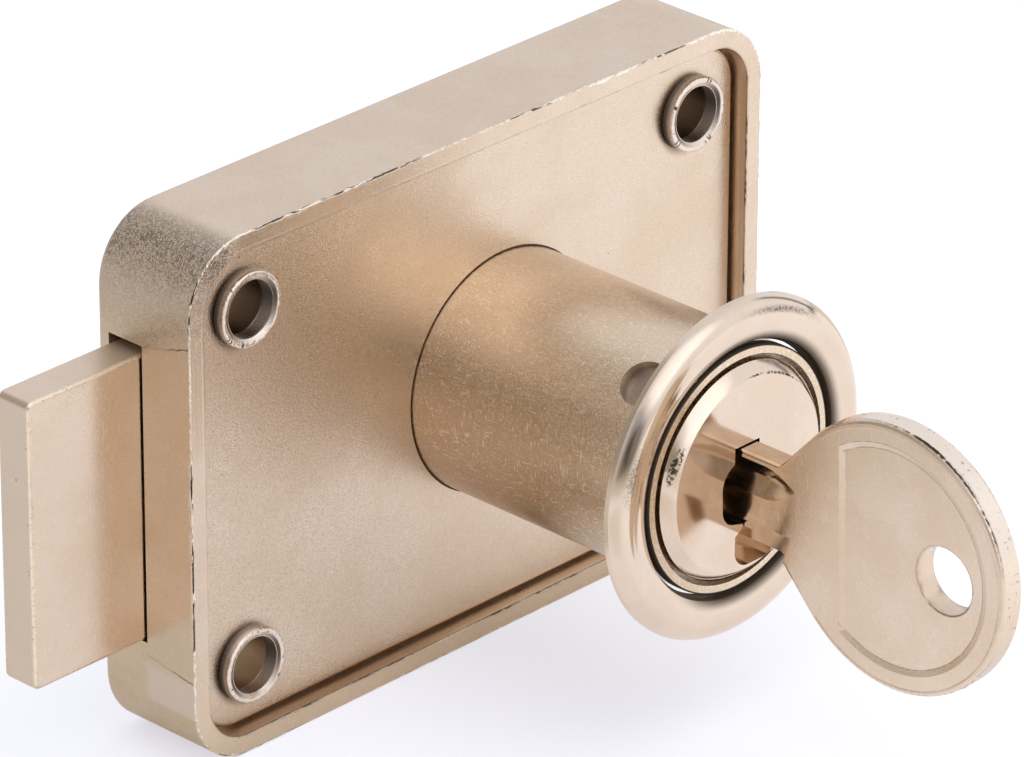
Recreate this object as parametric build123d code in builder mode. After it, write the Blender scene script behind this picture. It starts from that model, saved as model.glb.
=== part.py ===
from build123d import *
import os
from math import acos, atan2, cos, degrees, hypot, pi, radians, sin

# Cabinet cylinder lock, in millimetres. The origin is on the barrel's axis, in the plane of the case's rim,
# which lies against the door. +Y runs into the cabinet, -Y to the front, +X away from the bolt, +Z up.

# Case: a die-cast cup, open to the front, with four tubular screw posts
case_width = 56.4
case_height = 39.2
case_depth = 9.0
case_centre_x = -3.0
case_corner_radius = 5.0
rim_wall = 1.4
ledge_width = 0.8
floor_thickness = 1.2
rear_edge_radius = 0.6
rim_edge_radius = 0.3
mouth_below = 0.15
mouth_above = 0.7
mouth_front = 0.15
rail_centre_x = 12.0
rail_length = 14.0
rail_height = 1.4
rail_gap = 0.15

# Screw posts and their pattern
post_spacing_x = 44.0
post_spacing_z = 27.0
post_radius = 2.5
post_hole_radius = 2.1
post_ring_radius = 2.7
post_ring_y = 0.52
post_ring_edge = 0.3
countersink_radius = 3.4

# Cover plate, let into the rim
plate_recess = 1.2
plate_thickness = 1.0
plate_gap = 0.25
plate_edge_radius = 0.35
plate_barrel_gap = 0.12
plate_post_gap = 0.06

# Barrel and the cast pillars that clamp its flange against the plate
barrel_radius = 9.0
barrel_front_y = -21.05
barrel_bore_radius = 6.55
barrel_edge_radius = 0.15
counterbore_radius = 8.35
counterbore_floor_y = -19.85
flange_radius = 10.6
flange_thickness = 1.0
ear_width = 6.0
ear_overhang = 2.4
pillar_z = 13.0
pillar_radius = 1.7
peg_radius = 0.9
peg_gap = 0.05
locking_groove_width = 7.2
locking_groove_height = 15.5
locking_groove_back_y = -3.5
locking_groove_length = 15.5
stop_gap = 0.3
stop_width = 1.4
stop_slack = 0.5
slot_angle = 127.0
slot_width = 3.5
slot_rear_y = -15.4
slot_floor_radius = 8.2
slot_seat_radius = 8.5
slot_step_y = -19.4
slot_lip = 0.25

# Plug
plug_head_radius = 7.98
plug_face_y = -21.95
plug_chamfer = 0.8
plug_core_radius = 6.5
spigot_radius = 3.0
spigot_flat = 2.4
clip_groove_radius = 2.2
clip_groove_width = 0.4
keyway_end_y = -3.2
keyway_left_x = -1.35
keyway_step_x = -0.45
blade_gap = 0.1
face_pocket_depth = 1.8

# Wafers: six plates across the blade, sprung up and down by turns
wafer_count = 6
wafer_first_y = -17.6
wafer_pitch = 2.4
wafer_thickness = 1.0
wafer_half_width = 3.15
wafer_end_radius = 6.42
wafer_travel = 0.8
wafer_gap = 0.1
window_gap = 0.15
window_width = 2.4
spring_x = 3.95
spring_radius = 0.45
spring_bore_radius = 0.27
lug_reach_x = 4.55
lug_top_z = 1.9
lug_bottom_z = 0.9
chamber_inner_x = 3.25
chamber_outer_x = 4.75
chamber_top_z = 2.9
chamber_floor_z = -2.4

# Bolt and its drive: an eccentric pin in an upright slot, half a turn for the whole throw
bolt_throw = 10.3
bolt_tip_x = -41.5
bolt_tail_x = 12.0
bolt_half_height = 10.8
bolt_thickness = 3.0
bolt_edge_radius = 0.3
bolt_corner_radius = 0.6
bolt_clearance = 0.05
yoke_slack = 1.2
yoke_end_gap = 0.4
yoke_corner_radius = 1.2
drive_pin_radius = 1.3
drive_pin_shank_radius = 1.0
drive_pin_end_gap = 0.15
drive_pin_edge = 0.2
driver_radius = 7.0
driver_thickness = 1.0
driver_gap = 0.03
stop_nose_radius = 8.2
stop_nose_half_angle = 25.0
clip_radius = 3.6
clip_mouth = 2.6
clip_gap = 0.05
clip_thickness = 0.34

# Key: its flat stands upright, its middle line a little below the barrel's axis
key_thickness = 2.0
key_centre_z = -1.15
blade_height = 6.8
blade_tip_y = -3.6
shoulder_y = -25.6
bow_radius = 9.8
bow_centre_y = -35.75
bow_hole_radius = 2.45
bow_hole_y = -40.3
panel_depth = 0.14
panel_wall = 0.45
panel_radius = 8.35
panel_bar_reach = 4.65
panel_lean = -1.75
bow_edge_radius = 0.3
shoulder_fillet = 0.8
tip_chamfer = 1.6
groove_depth = 0.7
groove_top_z = 1.8
groove_bottom_z = -0.7
groove_floor_top_z = 0.74
groove_floor_bottom_z = 0.58
cutter_radius = 6.0
runout_length = 1.4
step_top_z = -2.85
step_depth = 0.65
step_past_shoulder = 1.2
step_end_lean = 0.7
step_overcut = 0.4
cut_depths = (0.9, 0.5, 1.2, 0.7, 0.9, 0.6)
cut_floor_half = 0.45

# Rosette
rosette_radius = 12.45
rosette_back_y = -20.18
rosette_rim_y = -20.57
rosette_crown_radius = 10.8
rosette_crown_y = -21.45
rosette_mouth_radius = 9.45
rosette_mouth_y = -21.1
rosette_bore_radius = 9.2
rosette_fall_sag = 0.08
rosette_recess_outer = 11.9
rosette_recess_inner = 9.8
rosette_recess_depth = 0.5
rosette_lug_width = 3.1
rosette_lug_height = 0.8
rosette_lug_gap = 0.1

# Places worked out from the sizes above
case_left = case_centre_x - case_width / 2
floor_y = case_depth - floor_thickness
plate_back_y = plate_recess + plate_thickness
inner_wall = rim_wall + ledge_width
inner_width = case_width - 2 * inner_wall
inner_height = case_height - 2 * inner_wall
post_places = [
    (case_centre_x + sx * post_spacing_x / 2, sz * post_spacing_z / 2)
    for sx in (-1, 1)
    for sz in (-1, 1)
]
flange_back_y = plate_back_y + flange_thickness
driver_front_y = flange_back_y + bolt_clearance
driver_back_y = driver_front_y + driver_thickness
bolt_back_y = floor_y - bolt_clearance
bolt_front_y = bolt_back_y - bolt_thickness
spigot_end_y = bolt_front_y - bolt_clearance
drive_pin_offset = bolt_throw / 2
stop_inner = driver_radius + stop_gap
stop_outer = stop_inner + stop_width
stop_half_angle = 90 - stop_nose_half_angle - stop_slack
blade_top_z = key_centre_z + blade_height / 2
blade_bottom_z = key_centre_z - blade_height / 2
key_face_x = key_thickness / 2
wafer_rows = [
    (wafer_first_y + i * wafer_pitch, 1 if i % 2 == 0 else -1)
    for i in range(wafer_count)
]


def upright(y):
    """Plane square to the barrel at y. A sketch on it reads (x, z) and is extruded towards the front."""
    return Plane.XZ.offset(-y)


def side_on(x):
    """Plane along the key at x. A sketch on it reads (y, z) and is extruded towards +X."""
    return Plane.YZ.offset(x)


def facing(angle, radius):
    """Plane at a radius and an angle in degrees round the barrel. A sketch on it reads y first."""
    side_x, side_z = cos(radians(angle)), sin(radians(angle))
    return Plane(
        origin=(radius * side_x, 0, radius * side_z), x_dir=(0, 1, 0), z_dir=(side_x, 0, side_z)
    )


os.makedirs("parts", exist_ok=True)

# Case. A ledge round its wall carries the plate, two rails guide the bolt, and two pillars hold the barrel.
with BuildPart() as case:
    with BuildSketch(upright(case_depth)):
        with Locations((case_centre_x, 0)):
            RectangleRounded(case_width, case_height, case_corner_radius)
    extrude(amount=case_depth)
    fillet(case.faces().sort_by(Axis.Y)[-1].edges(), rear_edge_radius)
    fillet(case.faces().sort_by(Axis.Y)[0].edges(), rim_edge_radius)
    with BuildSketch(upright(plate_back_y)):
        with Locations((case_centre_x, 0)):
            RectangleRounded(
                case_width - 2 * rim_wall,
                case_height - 2 * rim_wall,
                case_corner_radius - rim_wall,
            )
    extrude(amount=plate_back_y, mode=Mode.SUBTRACT)
    with BuildSketch(upright(floor_y)):
        with Locations((case_centre_x, 0)):
            RectangleRounded(inner_width, inner_height, case_corner_radius - inner_wall)
    extrude(amount=floor_y - plate_back_y, mode=Mode.SUBTRACT)
    # The mouth for the bolt is a little taller above it than below
    with BuildSketch(upright(floor_y)):
        with Locations((case_left, (mouth_above - mouth_below) / 2)):
            Rectangle(3 * inner_wall, 2 * bolt_half_height + mouth_above + mouth_below)
    extrude(amount=floor_y - bolt_front_y + mouth_front, mode=Mode.SUBTRACT)
    # Screw posts, with their ends peened over the plate
    with BuildSketch(upright(floor_y)):
        with Locations(*post_places):
            Circle(post_radius)
    extrude(amount=floor_y - plate_recess)
    with BuildSketch(upright(plate_recess)):
        with Locations(*post_places):
            Circle(post_ring_radius)
    extrude(amount=plate_recess - post_ring_y)
    ring_edges = case.edges().filter_by(GeomType.CIRCLE).filter_by(
        lambda e: abs(e.radius - post_ring_radius) < 0.01 and abs(e.center().Y - post_ring_y) < 0.01
    )
    fillet(ring_edges, post_ring_edge)
    # Two rails beside the bolt, and two pillars with pegs for the barrel's ears
    with BuildSketch(upright(floor_y)):
        for side in (-1, 1):
            with Locations((rail_centre_x, side * (bolt_half_height + rail_gap + rail_height / 2))):
                Rectangle(rail_length, rail_height)
    extrude(amount=floor_y - bolt_front_y)
    with BuildSketch(upright(floor_y)):
        with Locations((0, -pillar_z), (0, pillar_z)):
            Circle(pillar_radius)
    extrude(amount=floor_y - flange_back_y)
    with BuildSketch(upright(flange_back_y)):
        with Locations((0, -pillar_z), (0, pillar_z)):
            Circle(peg_radius)
    extrude(amount=flange_thickness - peg_gap)
    # Screw holes, countersunk from the back
    for x, z in post_places:
        with Locations(Plane(origin=(x, case_depth, z), x_dir=(1, 0, 0), z_dir=(0, 1, 0))):
            CounterSinkHole(post_hole_radius, countersink_radius)
case.part.label = "case"
export_step(case.part, "parts/case.step")

# Cover plate: pressed sheet, its front edge rolled over by the punch.
with BuildPart() as cover_plate:
    with BuildSketch(upright(plate_back_y)):
        with Locations((case_centre_x, 0)):
            RectangleRounded(
                case_width - 2 * (rim_wall + plate_gap),
                case_height - 2 * (rim_wall + plate_gap),
                case_corner_radius - rim_wall - plate_gap,
            )
    extrude(amount=plate_thickness)
    fillet(cover_plate.faces().sort_by(Axis.Y)[0].edges(), plate_edge_radius)
    with BuildSketch(upright(plate_back_y)):
        Circle(barrel_radius + plate_barrel_gap)
        with Locations(*post_places):
            Circle(post_radius + plate_post_gap)
    extrude(amount=plate_thickness, mode=Mode.SUBTRACT)
cover_plate.part.label = "cover_plate"
export_step(cover_plate.part, "parts/cover_plate.step")

# Barrel: cast in one with its flange and ears. An arc behind the flange stops the driver after a half turn.
with BuildPart() as barrel:
    with BuildSketch(upright(plate_back_y)):
        Circle(barrel_radius)
    extrude(amount=plate_back_y - barrel_front_y)
    fillet(barrel.faces().sort_by(Axis.Y)[0].edges(), barrel_edge_radius)
    with BuildSketch(upright(flange_back_y)):
        Circle(flange_radius)
        Rectangle(ear_width, 2 * (pillar_z + ear_overhang))
    extrude(amount=flange_thickness)
    with BuildSketch(upright(driver_back_y)):
        with BuildLine():
            outer_arc = CenterArc((0, 0), stop_outer, -stop_half_angle, 2 * stop_half_angle)
            inner_arc = CenterArc((0, 0), stop_inner, -stop_half_angle, 2 * stop_half_angle)
            Line(outer_arc @ 0, inner_arc @ 0)
            Line(outer_arc @ 1, inner_arc @ 1)
        make_face()
    extrude(amount=driver_back_y - flange_back_y)
    with BuildSketch(upright(driver_back_y)):
        Circle(barrel_bore_radius)
    extrude(amount=driver_back_y - barrel_front_y, mode=Mode.SUBTRACT)
    with BuildSketch(upright(counterbore_floor_y)):
        Circle(counterbore_radius)
    extrude(amount=counterbore_floor_y - barrel_front_y, mode=Mode.SUBTRACT)
    # Long grooves above and below, into which the wafers lock
    with BuildSketch(upright(locking_groove_back_y)):
        Rectangle(locking_groove_width, locking_groove_height)
    extrude(amount=locking_groove_length, mode=Mode.SUBTRACT)
    with BuildSketch(upright(flange_back_y)):
        with Locations((0, -pillar_z), (0, pillar_z)):
            Circle(peg_radius + peg_gap)
    extrude(amount=flange_thickness, mode=Mode.SUBTRACT)
    # Two grooves along the outside, opposite each other, take the rosette's lugs
    for angle in (slot_angle, slot_angle + 180):
        deep_rear = slot_rear_y - slot_width / 2
        with BuildSketch(facing(angle, slot_floor_radius)):
            with Locations((deep_rear, 0)):
                Circle(slot_width / 2)
            with Locations(((deep_rear + slot_step_y) / 2, 0)):
                Rectangle(deep_rear - slot_step_y, slot_width)
        extrude(amount=slot_width, mode=Mode.SUBTRACT)
        seat_front_y = barrel_front_y + slot_lip
        with BuildSketch(facing(angle, slot_seat_radius)):
            with Locations(((slot_step_y + seat_front_y) / 2, 0)):
                Rectangle(slot_step_y - seat_front_y, slot_width)
        extrude(amount=slot_width, mode=Mode.SUBTRACT)
barrel.part.label = "barrel"
export_step(barrel.part, "parts/barrel.step")

# Rosette: a low domed ring, hollow behind, held on the barrel by two lugs.
with BuildPart() as rosette:
    with BuildSketch(Plane.XY):
        with BuildLine():
            Line((rosette_bore_radius, rosette_back_y), (rosette_radius, rosette_back_y))
            Line((rosette_radius, rosette_back_y), (rosette_radius, rosette_rim_y))
            dome_middle = (
                rosette_crown_radius + (rosette_radius - rosette_crown_radius) * cos(pi / 4),
                rosette_rim_y + (rosette_crown_y - rosette_rim_y) * sin(pi / 4),
            )
            ThreePointArc(
                (rosette_radius, rosette_rim_y),
                dome_middle,
                (rosette_crown_radius, rosette_crown_y),
            )
            fall_middle = (
                (rosette_crown_radius + rosette_mouth_radius) / 2,
                rosette_crown_y + rosette_fall_sag,
            )
            ThreePointArc(
                (rosette_crown_radius, rosette_crown_y),
                fall_middle,
                (rosette_mouth_radius, rosette_mouth_y),
            )
            Polyline(
                (rosette_mouth_radius, rosette_mouth_y),
                (rosette_mouth_radius, rosette_rim_y),
                (rosette_bore_radius, rosette_rim_y),
                (rosette_bore_radius, rosette_back_y),
            )
        make_face()
    revolve(axis=Axis.Y)
    with BuildSketch(upright(rosette_back_y)):
        Circle(rosette_recess_outer)
        Circle(rosette_recess_inner, mode=Mode.SUBTRACT)
    extrude(amount=rosette_recess_depth, mode=Mode.SUBTRACT)
    for angle in (slot_angle, slot_angle + 180):
        with BuildSketch(facing(angle, slot_seat_radius + rosette_lug_gap)):
            with Locations(((rosette_back_y + rosette_rim_y) / 2, 0)):
                Rectangle(rosette_back_y - rosette_rim_y, rosette_lug_width)
        extrude(amount=rosette_lug_height)
rosette.part.label = "rosette"
export_step(rosette.part, "parts/rosette.step")

# Plug: its head turns in the barrel's counterbore, its core in the bore, and its spigot carries the driver.
with BuildPart() as plug:
    with BuildSketch(upright(flange_back_y)):
        Circle(plug_core_radius)
    extrude(amount=flange_back_y - plug_face_y)
    head_back_y = counterbore_floor_y - bolt_clearance
    with BuildSketch(upright(head_back_y)):
        Circle(plug_head_radius)
    extrude(amount=head_back_y - plug_face_y)
    chamfer(plug.faces().sort_by(Axis.Y)[0].edges(), plug_chamfer)
    with BuildSketch(upright(spigot_end_y)):
        Circle(spigot_radius)
        Rectangle(2 * spigot_radius, 2 * spigot_flat, mode=Mode.INTERSECT)
    extrude(amount=spigot_end_y - flange_back_y)
    # Groove round the spigot for the clip
    with BuildSketch(upright(driver_back_y + clip_groove_width)):
        Circle(spigot_radius)
        Circle(clip_groove_radius, mode=Mode.SUBTRACT)
    extrude(amount=clip_groove_width, mode=Mode.SUBTRACT)
    # Keyway: straight beside the blade, with a rounded hollow on its left and a step under it
    keyway_step = (keyway_step_x, -3.65)
    hollow_top = (keyway_left_x, 1.15)
    hollow_left = (-2.55, -0.6)
    hollow_turn = (-2.5, -1.9)
    hollow_bottom = (keyway_left_x, -3.4)
    with BuildSketch(upright(keyway_end_y)):
        with BuildLine():
            Polyline(
                keyway_step,
                (keyway_step_x, blade_bottom_z - blade_gap),
                (key_face_x + blade_gap, blade_bottom_z - blade_gap),
                (key_face_x + blade_gap, blade_top_z + blade_gap),
                (keyway_left_x, blade_top_z + blade_gap),
                hollow_top,
            )
            ThreePointArc(hollow_top, (-2.2, 0.55), hollow_left)
            Line(hollow_left, hollow_turn)
            ThreePointArc(hollow_turn, (-2.15, -2.95), hollow_bottom)
            Line(hollow_bottom, keyway_step)
        make_face()
    extrude(amount=keyway_end_y - plug_face_y, mode=Mode.SUBTRACT)
    # A shallow rounded pocket in the face, below the blade
    pocket_top = (keyway_step_x, -3.9)
    pocket_shoulder = (-1.2, -4.45)
    pocket_left = (-1.22, -5.7)
    pocket_floor = (0.3, -6.95)
    pocket_right = (2.2, -6.95)
    pocket_end = (2.8, -6.3)
    with BuildSketch(upright(plug_face_y + face_pocket_depth)):
        with BuildLine():
            Polyline(pocket_top, pocket_shoulder, pocket_left)
            ThreePointArc(pocket_left, (-0.8, -6.55), pocket_floor)
            Polyline(pocket_floor, pocket_right, pocket_end, (key_face_x + blade_gap, -4.3), pocket_top)
        make_face()
    extrude(amount=face_pocket_depth, mode=Mode.SUBTRACT)
    # A slot through the core for each wafer, with a side chamber for its lug and spring
    for y, way in wafer_rows:
        with BuildSketch(upright(y + wafer_thickness / 2 + wafer_gap / 2)):
            Rectangle(2 * (wafer_half_width + wafer_gap), 4 * plug_core_radius)
            with Locations(
                (
                    way * (chamber_inner_x + chamber_outer_x) / 2,
                    way * (chamber_top_z + chamber_floor_z) / 2,
                )
            ):
                Rectangle(chamber_outer_x - chamber_inner_x, chamber_top_z - chamber_floor_z)
        extrude(amount=wafer_thickness + wafer_gap, mode=Mode.SUBTRACT)
plug.part.label = "plug"
export_step(plug.part, "parts/plug.step")

# Driver: a flat disc on the spigot, with the nose that meets the barrel's stop.
with BuildPart() as driver:
    with BuildSketch(upright(driver_back_y)):
        Circle(driver_radius)
        with BuildLine():
            nose_arc = CenterArc(
                (0, 0), stop_nose_radius, 270 - stop_nose_half_angle, 2 * stop_nose_half_angle
            )
            Line(nose_arc @ 0, (0, 0))
            Line(nose_arc @ 1, (0, 0))
        make_face()
        with BuildSketch(mode=Mode.SUBTRACT):
            Circle(spigot_radius + driver_gap)
            Rectangle(4 * spigot_radius, 2 * (spigot_flat + driver_gap), mode=Mode.INTERSECT)
        with Locations((-drive_pin_offset, 0)):
            Circle(drive_pin_shank_radius, mode=Mode.SUBTRACT)
    extrude(amount=driver_thickness)
driver.part.label = "driver"
export_step(driver.part, "parts/driver.step")

# Drive pin: its shank is riveted in the driver, and its body runs in the bolt's slot.
with BuildPart() as drive_pin:
    with BuildSketch(upright(bolt_back_y - drive_pin_end_gap)):
        with Locations((-drive_pin_offset, 0)):
            Circle(drive_pin_radius)
    extrude(amount=bolt_back_y - drive_pin_end_gap - driver_back_y)
    fillet(drive_pin.faces().sort_by(Axis.Y)[-1].edges(), drive_pin_edge)
    with BuildSketch(upright(driver_back_y)):
        with Locations((-drive_pin_offset, 0)):
            Circle(drive_pin_shank_radius)
    extrude(amount=driver_thickness)
drive_pin.part.label = "drive_pin"
export_step(drive_pin.part, "parts/drive_pin.step")

# Retaining clip: a sprung wire-cut ring in the spigot's groove, behind the driver.
with BuildPart() as retaining_clip:
    with BuildSketch(upright(driver_back_y + (clip_groove_width + clip_thickness) / 2)):
        Circle(clip_radius)
        Circle(clip_groove_radius + clip_gap, mode=Mode.SUBTRACT)
        with Locations((clip_radius, 0)):
            Rectangle(2 * clip_groove_radius, clip_mouth, mode=Mode.SUBTRACT)
    extrude(amount=clip_thickness)
retaining_clip.part.label = "retaining_clip"
export_step(retaining_clip.part, "parts/retaining_clip.step")

# Bolt: a thick plate. Its slot is wider than the pin, because the pin's swing isn't an even travel.
yoke_bottom_z = -drive_pin_radius - yoke_end_gap
yoke_top_z = drive_pin_offset + drive_pin_radius + yoke_end_gap
with BuildPart() as bolt:
    with BuildSketch(upright(bolt_back_y)):
        with Locations(((bolt_tip_x + bolt_tail_x) / 2, 0)):
            Rectangle(bolt_tail_x - bolt_tip_x, 2 * bolt_half_height)
    extrude(amount=bolt_thickness)
    fillet(bolt.edges().filter_by(Axis.Y), bolt_corner_radius)
    fillet(bolt.faces().filter_by(Axis.Y).edges(), bolt_edge_radius)
    with BuildSketch(upright(bolt_back_y)):
        with Locations((-drive_pin_offset, (yoke_bottom_z + yoke_top_z) / 2)):
            RectangleRounded(
                2 * (drive_pin_radius + yoke_slack), yoke_top_z - yoke_bottom_z, yoke_corner_radius
            )
    extrude(amount=bolt_thickness, mode=Mode.SUBTRACT)
bolt.part.label = "bolt"
export_step(bolt.part, "parts/bolt.step")

# Wafers: each has a window for the blade and a lug at its side, on which its spring pushes.
for number, (y, way) in enumerate(wafer_rows, start=1):
    window_bottom = blade_bottom_z - window_gap - (wafer_travel if way > 0 else 0)
    window_top = blade_top_z + window_gap + (wafer_travel if way < 0 else 0)
    with BuildPart() as wafer:
        with BuildSketch(upright(y + wafer_thickness / 2)):
            Circle(wafer_end_radius)
            Rectangle(2 * wafer_half_width, 4 * plug_core_radius, mode=Mode.INTERSECT)
            with Locations((way * lug_reach_x / 2, way * (lug_top_z + lug_bottom_z) / 2)):
                Rectangle(lug_reach_x, lug_top_z - lug_bottom_z)
            with Locations((0, (window_bottom + window_top) / 2)):
                Rectangle(window_width, window_top - window_bottom, mode=Mode.SUBTRACT)
        extrude(amount=wafer_thickness)
    wafer.part.label = f"wafer_{number}"
    export_step(wafer.part, f"parts/wafer_{number}.step")

# Wafer springs: each stands in its chamber, between the chamber's end and the wafer's lug.
spring_length = lug_bottom_z - chamber_floor_z
for number, (y, way) in enumerate(wafer_rows, start=1):
    with BuildPart() as spring:
        spring_foot_z = chamber_floor_z if way > 0 else -lug_bottom_z
        with BuildSketch(Plane.XY.offset(spring_foot_z)):
            with Locations((way * spring_x, y)):
                Circle(spring_radius)
                Circle(spring_bore_radius, mode=Mode.SUBTRACT)
        extrude(amount=spring_length)
    spring.part.label = f"wafer_spring_{number}"
    export_step(spring.part, f"parts/wafer_spring_{number}.step")


def flank_touch(side):
    """Point (y, z) where the straight flank from the blade's shoulder touches the bow's circle."""
    reach_y = shoulder_y - bow_centre_y
    reach_z = side * blade_height / 2
    lean = acos(bow_radius / hypot(reach_y, reach_z))
    angle = atan2(reach_z, reach_y) + side * lean
    return bow_centre_y + bow_radius * cos(angle), key_centre_z + bow_radius * sin(angle)


# Key: a stamped blank with its blade milled down one side and cut to the wafers on both edges.
top_touch = flank_touch(1)
bottom_touch = flank_touch(-1)
with BuildPart() as key:
    with BuildSketch(side_on(-key_face_x)):
        with BuildLine():
            Polyline(
                top_touch,
                (shoulder_y, blade_top_z),
                (blade_tip_y - tip_chamfer, blade_top_z),
                (blade_tip_y, blade_top_z - tip_chamfer),
                (blade_tip_y, blade_bottom_z + tip_chamfer),
                (blade_tip_y - tip_chamfer, blade_bottom_z),
                (shoulder_y, blade_bottom_z),
                bottom_touch,
            )
            ThreePointArc(top_touch, (bow_centre_y - bow_radius, key_centre_z), bottom_touch)
        make_face()
    extrude(amount=key_thickness)
    shoulder_edges = key.edges().filter_by(Axis.X).filter_by(
        lambda e: abs(e.center().Y - shoulder_y) < 0.01
    )
    fillet(shoulder_edges, shoulder_fillet)
    rim_edges = key.edges().filter_by(GeomType.CIRCLE).filter_by(
        lambda e: abs(e.radius - bow_radius) < 0.01
    )
    fillet(rim_edges, bow_edge_radius)
    with BuildSketch(side_on(-key_face_x)):
        with Locations((bow_hole_y, key_centre_z)):
            Circle(bow_hole_radius)
    extrude(amount=key_thickness, mode=Mode.SUBTRACT)
    # D-shaped panel pressed into both faces of the bow, with a sloped wall and a slight lean from the stamp
    for side in (-1, 1):
        for inset, depth in ((0, 0), (panel_wall, panel_depth)):
            radius = panel_radius - inset
            bar_angle = degrees(acos((panel_bar_reach - inset) / radius))
            with BuildSketch(side_on(side * (key_face_x - depth))):
                with BuildLine():
                    rim = CenterArc(
                        (bow_centre_y, key_centre_z), radius, panel_lean + bar_angle, 360 - 2 * bar_angle
                    )
                    Line(rim @ 1, rim @ 0)
                make_face()
        loft(ruled=True, mode=Mode.SUBTRACT)
    # Groove down the left face, milled with a bevelled disc whose run-out shows at the neck
    runout_y = shoulder_y + runout_length
    cutter_axis_x = -key_face_x + groove_depth - cutter_radius
    groove_section = [
        (-key_face_x, groove_top_z),
        (-key_face_x + groove_depth, groove_floor_top_z),
        (-key_face_x + groove_depth, groove_floor_bottom_z),
        (-key_face_x, groove_bottom_z),
    ]
    with BuildSketch(upright(blade_tip_y)):
        with BuildLine():
            Polyline(*groove_section, close=True)
        make_face()
    extrude(amount=blade_tip_y - runout_y, mode=Mode.SUBTRACT)
    with BuildSketch(upright(runout_y)):
        with BuildLine():
            Polyline(
                *groove_section,
                (cutter_axis_x, groove_bottom_z),
                (cutter_axis_x, groove_top_z),
                close=True,
            )
        make_face()
    revolve(
        axis=Axis((cutter_axis_x, runout_y, 0), (0, 0, 1)),
        revolution_arc=360,
        mode=Mode.SUBTRACT,
    )
    # Step under the groove, with a slanted end at the shoulder
    with BuildSketch(side_on(-key_face_x)):
        with BuildLine():
            Polyline(
                (keyway_end_y, step_top_z),
                (shoulder_y - step_past_shoulder, step_top_z),
                (shoulder_y - step_past_shoulder + step_end_lean, blade_bottom_z - step_overcut),
                (keyway_end_y, blade_bottom_z - step_overcut),
                close=True,
            )
        make_face()
    extrude(amount=step_depth, mode=Mode.SUBTRACT)
    # Cuts for the wafers: on the edge from which each wafer is pushed
    for (y, way), depth in zip(wafer_rows, cut_depths):
        edge_z = blade_bottom_z if way > 0 else blade_top_z
        floor_z = edge_z + way * depth
        with BuildSketch(side_on(-key_face_x)):
            with BuildLine():
                Polyline(
                    (y - cut_floor_half, floor_z),
                    (y + cut_floor_half, floor_z),
                    (y + cut_floor_half + depth, edge_z),
                    (y - cut_floor_half - depth, edge_z),
                    close=True,
                )
            make_face()
        extrude(amount=key_thickness, mode=Mode.SUBTRACT)
key.part.label = "key"
export_step(key.part, "parts/key.step")
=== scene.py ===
from math import cos, pi, radians, sin

import bpy
import numpy as np
from mathutils import Matrix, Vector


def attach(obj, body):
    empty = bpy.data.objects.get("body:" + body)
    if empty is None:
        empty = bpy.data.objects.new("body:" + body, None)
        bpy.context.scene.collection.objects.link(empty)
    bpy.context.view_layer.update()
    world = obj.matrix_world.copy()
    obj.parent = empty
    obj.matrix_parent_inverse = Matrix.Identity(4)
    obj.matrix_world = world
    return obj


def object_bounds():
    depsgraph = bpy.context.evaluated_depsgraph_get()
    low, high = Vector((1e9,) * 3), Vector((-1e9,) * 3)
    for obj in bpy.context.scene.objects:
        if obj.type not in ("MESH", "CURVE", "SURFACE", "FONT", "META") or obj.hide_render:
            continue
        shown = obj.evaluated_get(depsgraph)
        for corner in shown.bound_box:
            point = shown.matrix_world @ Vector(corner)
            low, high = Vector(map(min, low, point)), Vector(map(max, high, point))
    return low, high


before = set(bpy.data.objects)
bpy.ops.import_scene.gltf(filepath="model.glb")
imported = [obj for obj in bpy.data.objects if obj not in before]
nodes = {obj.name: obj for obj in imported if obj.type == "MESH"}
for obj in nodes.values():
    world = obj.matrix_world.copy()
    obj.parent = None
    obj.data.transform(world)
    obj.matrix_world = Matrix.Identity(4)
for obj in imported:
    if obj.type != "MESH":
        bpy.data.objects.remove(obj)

cad_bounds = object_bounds()
mm = 0.001

# Camera, from the left, in front and above, with a long lens. The view is the photograph's, found by
# laying the lock's main edges over it.
view_azimuth, view_elevation, view_roll = radians(-46.333), radians(26.331), radians(-0.242)
view_distance = 532.36
aim_right, aim_down = 0.1711, -0.3184
lens_focal = 268.86
back = np.array([
    sin(view_azimuth) * cos(view_elevation), -cos(view_azimuth) * cos(view_elevation), sin(view_elevation)
])
level_right = np.cross(-back, (0, 0, 1))
level_right /= np.linalg.norm(level_right)
level_up = np.cross(back, level_right)
right = cos(view_roll) * level_right - sin(view_roll) * level_up
up = sin(view_roll) * level_right + cos(view_roll) * level_up
eye = (view_distance * back - aim_right * right + aim_down * up) * mm


def stand(holder, across, upward, facing, place):
    """Links an object with its own X, Y and Z along three directions, at a place."""
    bpy.context.scene.collection.objects.link(holder)
    holder.matrix_world = Matrix([
        (across[k], upward[k], facing[k], place[k]) for k in range(3)
    ] + [(0, 0, 0, 1)])


camera = bpy.data.objects.new("camera", bpy.data.cameras.new("camera"))
stand(camera, right, up, back, eye)
camera.data.lens = lens_focal
camera.data.clip_start = 0.01
camera.data.clip_end = 20
bpy.context.scene.camera = camera
bpy.context.scene.view_settings.view_transform = "Standard"

# Studio: a white surround, which the metal sees as a tent with a soft box beside the camera, a dark gap
# behind on the left and a seam on the right. A pale floor lies under the case, and a lamp is above it.
front_right, front_left = (0.65, -0.62, -0.2), (-0.78, -0.62, 0.02)
behind_left, behind_right = (-0.62, 0.6, 0.5), (0.28, 0.62, 0.73)
above_camera, beside_camera = (-0.12, -0.7, 0.7), (-0.66, -0.62, 0.42)
plain_level = 0.8
floor_reach = 3.0
floor_gap = 0.02
lamp_place = np.array([0.1, -0.25, 0.6])


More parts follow.
